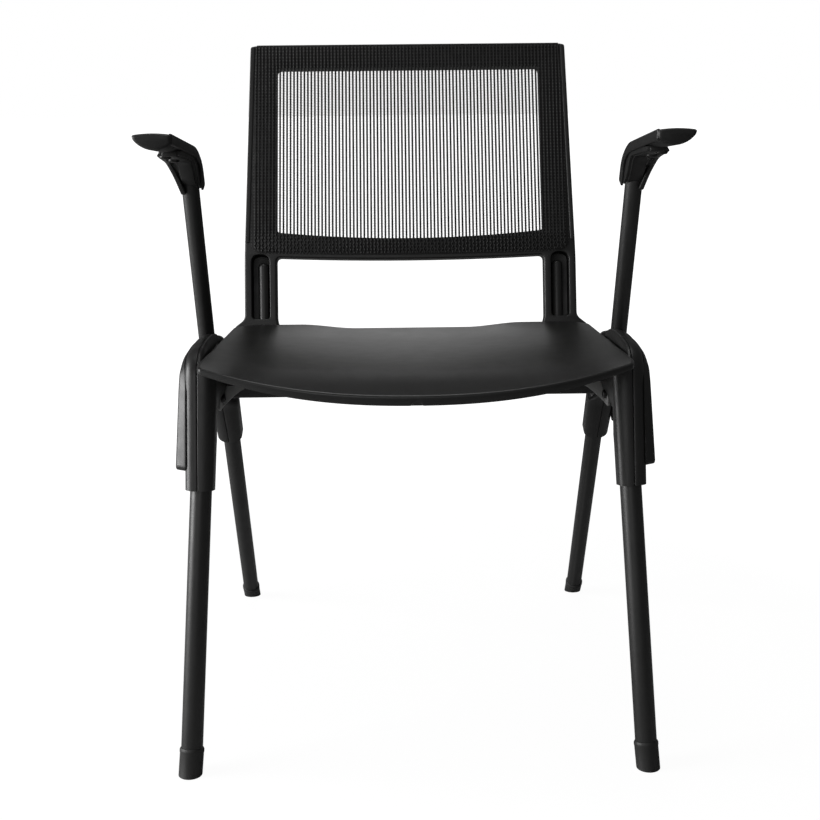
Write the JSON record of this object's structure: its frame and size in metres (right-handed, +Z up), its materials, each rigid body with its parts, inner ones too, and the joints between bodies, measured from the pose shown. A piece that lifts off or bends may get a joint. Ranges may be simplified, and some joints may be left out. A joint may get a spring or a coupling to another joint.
{
  "type": "nesting chair",
  "caption": "Nesting chair: raked tube legs in moulded side hubs, flip-up moulded seat, reclined mesh back and cantilevered armrests.",
  "frame": {"origin": "On the floor under the middle of the chair's bounding box", "axes": "+Z up; the chair faces -Y; the sitter's left side is at +X; the seat is down at rest"},
  "size_m": [0.5598, 0.5737, 0.8206],
  "materials": {
    "tube": "satin black powder coat",
    "moulding": "fine grained black moulding",
    "seat": "satin black moulding",
    "fabric": "black stretched mesh",
    "pad": "soft black self-skinned foam",
    "rubber": "dull black",
    "grey_steel": "satin grey",
    "screw": "blackened steel"
  },
  "bodies": {
    "frame": {"arm_bracket_left": "moulding", "arm_bracket_right": "moulding", "arm_pad_left": "pad", "arm_pad_right": "pad", "arm_screw_front_left": "screw", "arm_screw_front_right": "screw", "arm_screw_rear_left": "screw", "arm_screw_rear_right": "screw", "arm_tube_left": "tube", "arm_tube_right": "tube", "back_bar_left": "tube", "back_bar_right": "tube", "back_frame": "moulding", "beam_gusset_left": "grey_steel", "beam_gusset_right": "grey_steel", "front_beam": "tube", "front_foot_cap_left": "rubber", "front_foot_cap_right": "rubber", "front_leg_left": "tube", "front_leg_right": "tube", "gusset_bolt_left": "screw", "gusset_bolt_right": "screw", "hub_inner_shell_left": "moulding", "hub_inner_shell_right": "moulding", "hub_outer_shell_left": "moulding", "hub_outer_shell_right": "moulding", "hub_plate_left": "grey_steel", "hub_plate_right": "grey_steel", "mesh_fabric": "fabric", "pivot_tube": "tube", "rear_foot_cap_left": "rubber", "rear_foot_cap_right": "rubber", "rear_leg_left": "tube", "rear_leg_right": "tube", "rear_stretcher": "tube", "side_cover_left": "moulding", "side_cover_right": "moulding"},
    "seat": {"seat_bar_left": "tube", "seat_bar_right": "tube", "seat_bumper_left": "rubber", "seat_bumper_right": "rubber", "seat_bush_left": "moulding", "seat_bush_right": "moulding", "seat_saddle_left": "moulding", "seat_saddle_right": "moulding", "seat_screw_front_left": "screw", "seat_screw_front_right": "screw", "seat_screw_rear_left": "screw", "seat_screw_rear_right": "screw", "seat_shell": "seat"}
  },
  "joints": [
    {"name": "seat_flip", "type": "hinge", "parent": "frame", "child": "seat", "pos_m": [0, 0.0411, 0.422], "axis": [-1, 0, 0], "range_deg": [0, 80]}
  ]
}
